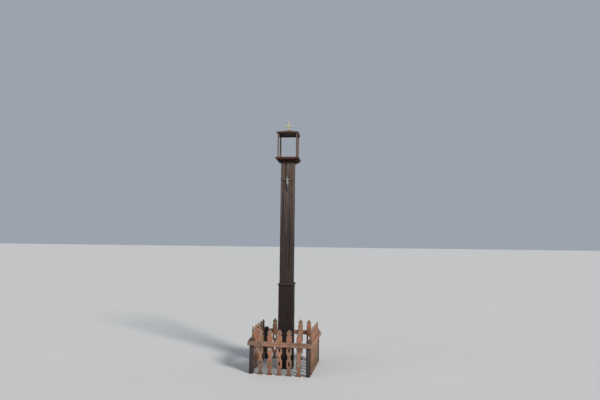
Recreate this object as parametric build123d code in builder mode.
from build123d import *
import math
import os

# A wooden wayside shrine: a timber post that carries an open head with a low roof and a
# metal cross, a small crucifix on the post, and a low fence of sawn pickets round its foot.
# The origin is the centre of the post's foot on the ground. The front faces -Y, +Z is up.
# All sizes are in millimetres.

# Post, with the drying crack in its front, and the casing round its lower part
POST_W = 166.0
POST_EDGE = 4.0
CRACK_X = -15.0
CRACK_W = 8.0
CRACK_DEPTH = 26.0
CRACK_H = 247.0
CRACK_START = 0.2
CASING_T = 9.0
CASING_H = 990.0
CASING_CAP_H = 26.0
CASING_CAP_PROUD = 10.0
CASING_CAP_LIP = 14.0

# Tray on top of the post, with its mitred mouldings under it
MOULDING_LOW_Z = 2492.0
MOULDING_H = 45.0
MOULDING_INSET = 5.0
MOULDING_LIP = 6.0
TRAY_W = 292.0
TRAY_T = 21.0
TRAY_EDGE = 3.0

# Open head: four slim posts, set in from the tray's edge, and the plates that tie them
HEAD_POST_W = 20.0
HEAD_POST_INSET = 22.0
HEAD_POST_H = 292.0
PLATE_W = 20.0
PLATE_H = 8.0

# Roof: thin eave boards against the plates' outer faces, hanging a little below the ceiling board
CEILING_T = 8.0
EAVE_T = 9.0
EAVE_DROP = 5.0
EAVE_H = 17.0
ROOF_OVERHANG = 4.0
ROOF_BOARD_T = 7.0
ROOF_RISE = 40.0

# Block through the roof's top, and the cast cross that stands on it
BLOCK_W = 28.0
BLOCK_PROUD = 8.0
BLOCK_EDGE = 3.0
CROSS_T = 6.0
CROSS_ARM_W = 14.0
CROSS_END_W = 20.0
CROSS_SPAN = 98.0
CROSS_ARM_Z = 57.0
CROSS_TOP_Z = 111.0
CROSS_FOOT_W = 26.0
CROSS_FOOT_H = 4.0

# Crucifix on the front of the post, hung from its top, which is a drop below the tray's mouldings
CRUCIFIX_DROP = 141.0
CRUCIFIX_SPAN = 146.0
CRUCIFIX_ARM_DROP = 68.0
CRUCIFIX_BAR_W = 16.0
CRUCIFIX_BAR_T = 8.0
NAME_PLATE_W = 20.0
NAME_PLATE_H = 24.0
NAME_PLATE_T = 3.0
NAME_PLATE_DROP = 8.0
NAME_PLATE_GAP = 3.0
FIGURE_H = 164.0
FIGURE_FOOT_GAP = 14.0
FIGURE_DEPTH = 16.0
FIGURE_CHEST_W = 27.0
FIGURE_REACH = 58.0
FIGURE_ELBOW_DROP = 5.0
FIGURE_HEAD_R = 9.5
FIGURE_SIDES = 12

# Fence round the foot: a square of four panels, turned a little from the post's faces
FENCE_TURN = 6.0
FENCE_SPACING = 666.0
FENCE_POST_W = 50.0
FENCE_POST_H = 404.0
FENCE_POST_CAP_H = 9.0
RAIL_LOW_Z = 320.0
RAIL_H = 56.0
RAIL_T = 20.0
RAIL_TAPER_L = 46.0
RAIL_TAPER_H = 27.0
PICKET_COUNT = 5
PICKET_END_GAP = 108.0
PICKET_T = 18.0
PICKET_W = 60.0
PICKET_H = 516.0
PICKET_NECK_W = 33.0
PICKET_WAIST_W = 33.0
PICKET_STEP = 6.0
HEAD_DROP = 44.0
NECK_DROP = 60.0
SHOULDER_DROP = 76.0
EYE_W = 22.0
EYE_H = 50.0
EYE_LOW_Z = 131.0
EYE_PITCH = 150.0
SWELL_H = 84.0

# Sizes that follow from the ones above
POST_HALF = POST_W / 2
CASING_HALF = POST_HALF + CASING_T
TRAY_LOW_Z = MOULDING_LOW_Z + MOULDING_H
TRAY_HIGH_Z = TRAY_LOW_Z + TRAY_T
HEAD_POST_SPACING = TRAY_W - 2 * HEAD_POST_INSET - HEAD_POST_W
PLATE_LOW_Z = TRAY_HIGH_Z + HEAD_POST_H
PLATE_HIGH_Z = PLATE_LOW_Z + PLATE_H
PLATE_OUT = HEAD_POST_SPACING / 2 + PLATE_W / 2
PLATE_IN = HEAD_POST_SPACING / 2 - PLATE_W / 2
EAVE_IN = PLATE_OUT
EAVE_OUT = EAVE_IN + EAVE_T
EAVE_LOW_Z = PLATE_HIGH_Z - EAVE_DROP
ROOF_HALF = EAVE_OUT + ROOF_OVERHANG
ROOF_EDGE_Z = EAVE_LOW_Z + EAVE_H
BLOCK_HALF = BLOCK_W / 2
ROOF_SLOPE = ROOF_RISE / (ROOF_HALF - BLOCK_HALF)
BLOCK_HIGH_Z = ROOF_EDGE_Z + ROOF_RISE + BLOCK_PROUD
CRUCIFIX_HIGH_Z = MOULDING_LOW_Z - CRUCIFIX_DROP
NAME_PLATE_LOW_Z = CRUCIFIX_HIGH_Z - NAME_PLATE_DROP - NAME_PLATE_H
FIGURE_LOW_Z = NAME_PLATE_LOW_Z - NAME_PLATE_GAP - FIGURE_H
CRUCIFIX_LOW_Z = FIGURE_LOW_Z - FIGURE_FOOT_GAP
CRUCIFIX_H = CRUCIFIX_HIGH_Z - CRUCIFIX_LOW_Z
CRUCIFIX_ARM_Z = CRUCIFIX_HIGH_Z - CRUCIFIX_ARM_DROP
CRUCIFIX_FACE = POST_HALF + CRUCIFIX_BAR_T
FENCE_HALF = FENCE_SPACING / 2
FENCE_FACE = FENCE_HALF + FENCE_POST_W / 2
RAIL_HALF = FENCE_FACE + RAIL_T
PICKET_PITCH = (FENCE_SPACING - 2 * PICKET_END_GAP) / (PICKET_COUNT - 1)

# Each side by the angle that turns the front to it, anticlockwise seen from above
SIDES = {"front": 0, "right": 90, "back": 180, "left": 270}

os.makedirs("parts", exist_ok=True)


def save(piece, name):
    """Names a finished piece and writes it."""
    piece.part.label = name
    export_step(piece.part, f"parts/{name}.step")


def outward(turn):
    """The level direction that a side faces."""
    angle = math.radians(turn)
    return Vector(math.sin(angle), -math.cos(angle), 0)


def across(turn):
    """The level direction along a side, to the left of someone who looks at it."""
    angle = math.radians(turn)
    return Vector(-math.cos(angle), -math.sin(angle), 0)


def section_plane(turn):
    """A plane through the shrine's axis: its x runs outwards from a side, its y upwards."""
    return Plane(origin=(0, 0, 0), x_dir=outward(turn), z_dir=across(turn))


def face_plane(turn, distance):
    """A plane parallel to a side at a distance from the axis: its y is up, its z points out."""
    return Plane(origin=outward(turn) * distance, x_dir=-across(turn), z_dir=outward(turn))


def mitred(corners, turn):
    """One side's length of a square moulding: its section runs along the side, mitred at 45 degrees."""
    reach = max(x for x, z in corners)
    with BuildPart() as piece:
        with BuildSketch(section_plane(turn)):
            with BuildLine():
                Polyline(*corners, close=True)
            make_face()
        extrude(amount=reach, both=True)
        for sideways in (across(turn), -across(turn)):
            mitre = Plane(origin=(0, 0, 0), z_dir=sideways - outward(turn))
            split(bisect_by=mitre, keep=Keep.BOTTOM)
    return piece


def crack_section(share):
    """The V of the drying crack in the post's front, at a share of its full size."""
    with BuildSketch() as section:
        with BuildLine():
            Polyline(
                (CRACK_X - share * CRACK_W / 2, -POST_HALF),
                (CRACK_X, -POST_HALF + share * CRACK_DEPTH),
                (CRACK_X + share * CRACK_W / 2, -POST_HALF),
                close=True,
            )
        make_face()
    return section.sketch


def build_post():
    """The main timber, with eased corners, from the ground to the tray, and the crack that opens upwards."""
    with BuildPart() as post:
        with BuildSketch():
            Rectangle(POST_W, POST_W)
        extrude(amount=TRAY_LOW_Z)
        chamfer(post.edges().filter_by(Axis.Z), POST_EDGE)
        with BuildSketch(Plane.XY.offset(TRAY_LOW_Z - CRACK_H)):
            add(crack_section(CRACK_START))
        with BuildSketch(Plane.XY.offset(TRAY_LOW_Z)):
            add(crack_section(1.0))
        loft(mode=Mode.SUBTRACT)
    save(post, "post")


def build_casing():
    """Boards that case the lower post: front and back lap the sides, and a sloped cap runs round."""
    for side, turn in SIDES.items():
        laps = side in ("front", "back")
        width = POST_W + 2 * CASING_T if laps else POST_W
        with BuildPart() as board:
            with BuildSketch(face_plane(turn, POST_HALF)):
                with Locations((0, CASING_H / 2)):
                    Rectangle(width, CASING_H)
            extrude(amount=CASING_T)
        save(board, f"casing_board_{side}")

        nose = CASING_HALF + CASING_CAP_PROUD
        top = CASING_H + CASING_CAP_H
        corners = (
            (POST_HALF, CASING_H),
            (nose, CASING_H),
            (nose, CASING_H + CASING_CAP_LIP),
            (POST_HALF, top),
        )
        save(mitred(corners, turn), f"casing_cap_{side}")


def build_tray():
    """The tray board, carried by the post and by four mitred mouldings that slope in under it."""
    nose = TRAY_W / 2 - MOULDING_INSET
    for side, turn in SIDES.items():
        corners = (
            (POST_HALF, MOULDING_LOW_Z),
            (POST_HALF + MOULDING_LIP, MOULDING_LOW_Z),
            (nose, TRAY_LOW_Z - MOULDING_LIP),
            (nose, TRAY_LOW_Z),
            (POST_HALF, TRAY_LOW_Z),
        )
        save(mitred(corners, turn), f"tray_moulding_{side}")

    with BuildPart() as tray:
        with BuildSketch(Plane.XY.offset(TRAY_LOW_Z)):
            Rectangle(TRAY_W, TRAY_W)
        extrude(amount=TRAY_T)
        chamfer(tray.faces().sort_by(Axis.Z)[-1].edges(), TRAY_EDGE)
    save(tray, "tray_board")


def build_head():
    """Four slim posts at the tray's corners, tied by plates: the front and back ones run through."""
    near = HEAD_POST_SPACING / 2
    for depth, y in (("front", -near), ("back", near)):
        for hand, x in (("left", -near), ("right", near)):
            with BuildPart() as stem:
                with BuildSketch(Plane((x, y, TRAY_HIGH_Z))):
                    Rectangle(HEAD_POST_W, HEAD_POST_W)
                extrude(amount=HEAD_POST_H)
            save(stem, f"head_post_{depth}_{hand}")

    with BuildPart() as long_plates:
        with BuildSketch(Plane.XY.offset(PLATE_LOW_Z)):
            with GridLocations(0, HEAD_POST_SPACING, 1, 2):
                Rectangle(2 * PLATE_OUT, PLATE_W)
        extrude(amount=PLATE_H)
    save(long_plates, "head_plates_front_back")

    with BuildPart() as short_plates:
        with BuildSketch(Plane.XY.offset(PLATE_LOW_Z)):
            with GridLocations(HEAD_POST_SPACING, 0, 2, 1):
                Rectangle(PLATE_W, 2 * PLATE_IN)
        extrude(amount=PLATE_H)
    save(short_plates, "head_plates_left_right")


def roof_under(x):
    """Height of the roof boards' underside at a distance from the axis."""
    return ROOF_EDGE_Z + (ROOF_HALF - x) * ROOF_SLOPE - ROOF_BOARD_T


def build_roof():
    """A low four-sided roof: ceiling, mitred eaves, four mitred boards, and the block in their midst."""
    with BuildPart() as ceiling:
        with BuildSketch(Plane.XY.offset(PLATE_HIGH_Z)):
            Rectangle(2 * EAVE_IN, 2 * EAVE_IN)
        extrude(amount=CEILING_T)
    save(ceiling, "ceiling_board")

    for side, turn in SIDES.items():
        eave = (
            (EAVE_IN, EAVE_LOW_Z),
            (EAVE_OUT, EAVE_LOW_Z),
            (EAVE_OUT, roof_under(EAVE_OUT)),
            (EAVE_IN, roof_under(EAVE_IN)),
        )
        save(mitred(eave, turn), f"eave_board_{side}")

        slope = (
            (BLOCK_HALF, roof_under(BLOCK_HALF)),
            (ROOF_HALF, roof_under(ROOF_HALF)),
            (ROOF_HALF, ROOF_EDGE_Z),
            (BLOCK_HALF, ROOF_EDGE_Z + ROOF_RISE),
        )
        save(mitred(slope, turn), f"roof_board_{side}")

    with BuildPart() as block:
        with BuildSketch(Plane.XY.offset(PLATE_HIGH_Z + CEILING_T)):
            Rectangle(BLOCK_W, BLOCK_W)
        extrude(amount=BLOCK_HIGH_Z - PLATE_HIGH_Z - CEILING_T)
        chamfer(block.faces().sort_by(Axis.Z)[-1].edges(), BLOCK_EDGE)
    save(block, "finial_block")


def flared_arm(reach):
    """Half of a cross's bar, drawn along +X from the crossing, that widens to its end."""
    with BuildSketch() as arm:
        with BuildLine():
            Polyline(
                (0, -CROSS_ARM_W / 2),
                (reach, -CROSS_END_W / 2),
                (reach, CROSS_END_W / 2),
                (0, CROSS_ARM_W / 2),
                close=True,
            )
        make_face()
    return arm.sketch


def build_roof_cross():
    """A cast cross with flared ends, standing on a small square foot."""
    arm_z = BLOCK_HIGH_Z + CROSS_ARM_Z
    foot_z = BLOCK_HIGH_Z + CROSS_FOOT_H
    with BuildPart() as cross:
        with BuildSketch(Plane.XZ):
            for turn, reach in (
                (0, CROSS_SPAN / 2),
                (180, CROSS_SPAN / 2),
                (90, CROSS_TOP_Z - CROSS_ARM_Z),
                (-90, arm_z - foot_z),
            ):
                with Locations(Location((0, arm_z), turn)):
                    add(flared_arm(reach))
        extrude(amount=CROSS_T / 2, both=True)
        with BuildSketch(Plane.XY.offset(BLOCK_HIGH_Z)):
            Rectangle(CROSS_FOOT_W, CROSS_FOOT_W)
        extrude(amount=CROSS_FOOT_H)
    save(cross, "roof_cross")


def build_crucifix():
    """A plain cross on the post's front, a bare plate at its head, and a small cast figure."""
    with BuildPart() as bars:
        with BuildSketch(face_plane(0, POST_HALF)):
            with Locations((0, CRUCIFIX_LOW_Z + CRUCIFIX_H / 2)):
                Rectangle(CRUCIFIX_BAR_W, CRUCIFIX_H)
            with Locations((0, CRUCIFIX_ARM_Z)):
                Rectangle(CRUCIFIX_SPAN, CRUCIFIX_BAR_W)
        extrude(amount=CRUCIFIX_BAR_T)
    save(bars, "crucifix_cross")

    with BuildPart() as plate:
        with BuildSketch(face_plane(0, CRUCIFIX_FACE)):
            with Locations((0, NAME_PLATE_LOW_Z + NAME_PLATE_H / 2)):
                Rectangle(NAME_PLATE_W, NAME_PLATE_H)
        extrude(amount=NAME_PLATE_T)
    save(plate, "crucifix_plate")


def faceted_oval(width, depth):
    """An oval with flat facets, as many as the figure's sections have."""
    turns = [math.tau * i / FIGURE_SIDES for i in range(FIGURE_SIDES)]
    with BuildSketch() as outline:
        with BuildLine():
            Polyline(*[(math.cos(t) * width / 2, math.sin(t) * depth / 2) for t in turns], close=True)
        make_face()
    return outline.sketch


def ruled_tube(sections):
    """A solid ruled through oval sections, each a centre, a width and a depth, set across its run."""
    centres = [centre for centre, width, depth in sections]
    with BuildPart() as tube:
        for i, (centre, width, depth) in enumerate(sections):
            way = centres[min(i + 1, len(centres) - 1)] - centres[max(i - 1, 0)]
            with BuildSketch(Plane(origin=centre, x_dir=Vector(0, 1, 0).cross(way), z_dir=way)):
                add(faceted_oval(width, depth))
        loft(ruled=True)
    return tube.part


def figure_limbs(spine_y):
    """The spread arms, and the legs that meet at the feet, as sections of tubes."""
    chest = FIGURE_CHEST_W
    # Distance from the middle, height, share of the depth forward, and width and depth as shares of the chest
    arm = (
        (0.16 * chest, FIGURE_LOW_Z + 0.75 * FIGURE_H, 0, 0.30, 0.32),
        (0.42 * chest, FIGURE_LOW_Z + 0.775 * FIGURE_H, 0, 0.31, 0.31),
        (0.58 * FIGURE_REACH, CRUCIFIX_ARM_Z - FIGURE_ELBOW_DROP, 0, 0.24, 0.25),
        (0.92 * FIGURE_REACH, CRUCIFIX_ARM_Z, 0, 0.16, 0.18),
        (1.05 * FIGURE_REACH, CRUCIFIX_ARM_Z, 0, 0.22, 0.14),
    )
    leg = (
        (0.20 * chest, FIGURE_LOW_Z + 0.48 * FIGURE_H, 0, 0.42, 0.44),
        (0.15 * chest, FIGURE_LOW_Z + 0.26 * FIGURE_H, 0.12, 0.31, 0.32),
        (0.12 * chest, FIGURE_LOW_Z + 0.18 * FIGURE_H, 0.06, 0.27, 0.28),
        (0.09 * chest, FIGURE_LOW_Z + 0.05 * FIGURE_H, 0, 0.19, 0.20),
        (0.08 * chest, FIGURE_LOW_Z, 0.12, 0.19, 0.28),
    )
    return [
        [(Vector(sign * x, spine_y - forward * FIGURE_DEPTH, z), wide * chest, deep * chest)
         for x, z, forward, wide, deep in limb]
        for sign in (-1, 1)
        for limb in (arm, leg)
    ]


def build_figure():
    """The cast figure, its back flat on the cross: trunk, loincloth, egg-shaped head, arms and legs."""
    spine_y = -CRUCIFIX_FACE - FIGURE_DEPTH / 3
    # Share of the figure's height, width as a share of the chest's, depth as a share of the figure's
    trunk = (
        (0.46, 0.80, 1.00),
        (0.58, 0.68, 0.86),
        (0.69, 1.00, 1.14),
        (0.78, 0.92, 0.96),
        (0.83, 0.36, 0.60),
        (0.90, 0.34, 0.56),
    )
    loincloth = ((0.37, 0.84, 1.00), (0.45, 0.98, 1.20), (0.52, 0.86, 1.10))
    head_h = 2.5 * FIGURE_HEAD_R / FIGURE_H
    head_w = 2 * FIGURE_HEAD_R / FIGURE_CHEST_W
    # Share of the head's height, and of its width
    egg = ((0.0, 0.42), (0.14, 0.72), (0.4, 0.95), (0.62, 1.0), (0.85, 0.78), (1.0, 0.34))
    head = [(1 - head_h * (1 - up), head_w * wide, 1.2 * wide) for up, wide in egg]
    with BuildPart() as figure:
        for sections in (trunk, loincloth, head):
            add(ruled_tube([
                (Vector(0, spine_y, FIGURE_LOW_Z + up * FIGURE_H), wide * FIGURE_CHEST_W, deep * FIGURE_DEPTH)
                for up, wide, deep in sections
            ]))
        for sections in figure_limbs(spine_y):
            add(ruled_tube(sections))
        split(bisect_by=Plane(origin=(0, -CRUCIFIX_FACE, 0), z_dir=(0, 1, 0)), keep=Keep.BOTTOM)
    save(figure, "crucifix_figure")


def cove(from_z, to_z, edge, waist):
    """The waist between two swellings: a step in from each, and one hollow curve."""
    step = edge - PICKET_STEP
    Line((edge, from_z), (step, from_z))
    ThreePointArc((step, from_z), (waist, (from_z + to_z) / 2), (step, to_z))
    Line((step, to_z), (edge, to_z))


def eye_outline():
    """The sawn hole in a swelling: two arcs that meet in points above and below."""
    with BuildSketch() as eye:
        with BuildLine():
            ThreePointArc((0, -EYE_H / 2), (EYE_W / 2, 0), (0, EYE_H / 2))
            ThreePointArc((0, EYE_H / 2), (-EYE_W / 2, 0), (0, -EYE_H / 2))
        make_face()
    return eye.sketch


def picket_outline():
    """One picket's outline from its foot up, with two pierced swellings under a spade head."""
    edge = PICKET_W / 2
    waist = PICKET_WAIST_W / 2
    neck = PICKET_NECK_W / 2
    swell = SWELL_H / 2
    low_top = EYE_LOW_Z + swell
    high_low = EYE_LOW_Z + EYE_PITCH - swell
    foot_top = EYE_LOW_Z - EYE_PITCH + swell
    head = (edge, PICKET_H - HEAD_DROP)
    tip = (0, PICKET_H)
    throat = (neck, PICKET_H - NECK_DROP)
    shoulder = (edge, PICKET_H - SHOULDER_DROP)
    with BuildSketch() as outline:
        with BuildLine():
            Line((0, 0), (edge, 0))
            Line((edge, 0), (edge, foot_top))
            cove(foot_top, EYE_LOW_Z - swell, edge, waist)
            Line((edge, EYE_LOW_Z - swell), (edge, low_top))
            cove(low_top, high_low, edge, waist)
            Line((edge, high_low), shoulder)
            Line(shoulder, throat)
            RadiusArc(throat, head, -HEAD_DROP)
            RadiusArc(head, tip, -2 * HEAD_DROP)
            mirror(about=Plane.YZ)
        make_face()
        with Locations((0, EYE_LOW_Z), (0, EYE_LOW_Z + EYE_PITCH)):
            add(eye_outline(), mode=Mode.SUBTRACT)
    return outline.sketch


def rail_outline(reach, tapers):
    """A rail's face: its ends are square, or slope down from the top to a blunt point."""
    top = RAIL_LOW_Z + RAIL_H
    end = [(reach - RAIL_TAPER_L, top), (reach, top - RAIL_TAPER_H)] if tapers else [(reach, top)]
    with BuildSketch() as outline:
        with BuildLine():
            Polyline((0, top), *end, (reach, RAIL_LOW_Z), (0, RAIL_LOW_Z))
            mirror(about=Plane.YZ)
        make_face()
    return outline.sketch


def build_fence():
    """Corner posts, a rail on the face of each panel, and the pickets behind each rail."""
    middle = Location((0, 0, 0), (0, 0, -FENCE_TURN))
    for depth, y in (("front", -FENCE_HALF), ("back", FENCE_HALF)):
        with BuildPart() as posts:
            with BuildSketch(Plane(middle)):
                with Locations((-FENCE_HALF, y), (FENCE_HALF, y)):
                    Rectangle(FENCE_POST_W, FENCE_POST_W)
            extrude(amount=FENCE_POST_H)
            chamfer(posts.faces().sort_by(Axis.Z)[-2:].edges(), FENCE_POST_CAP_H)
        save(posts, f"fence_posts_{depth}")

    for side, turn in SIDES.items():
        laps = side in ("front", "back")
        reach = RAIL_HALF if laps else FENCE_FACE
        with BuildPart() as rail:
            with BuildSketch(face_plane(turn - FENCE_TURN, FENCE_FACE)):
                add(rail_outline(reach, laps))
            extrude(amount=RAIL_T)
        save(rail, f"fence_rail_{side}")

        with BuildPart() as pickets:
            with BuildSketch(face_plane(turn - FENCE_TURN, FENCE_FACE)):
                with GridLocations(PICKET_PITCH, 0, PICKET_COUNT, 1):
                    add(picket_outline())
            extrude(amount=-PICKET_T)
        save(pickets, f"fence_pickets_{side}")


build_post()
build_casing()
build_tray()
build_head()
build_roof()
build_roof_cross()
build_crucifix()
build_figure()
build_fence()
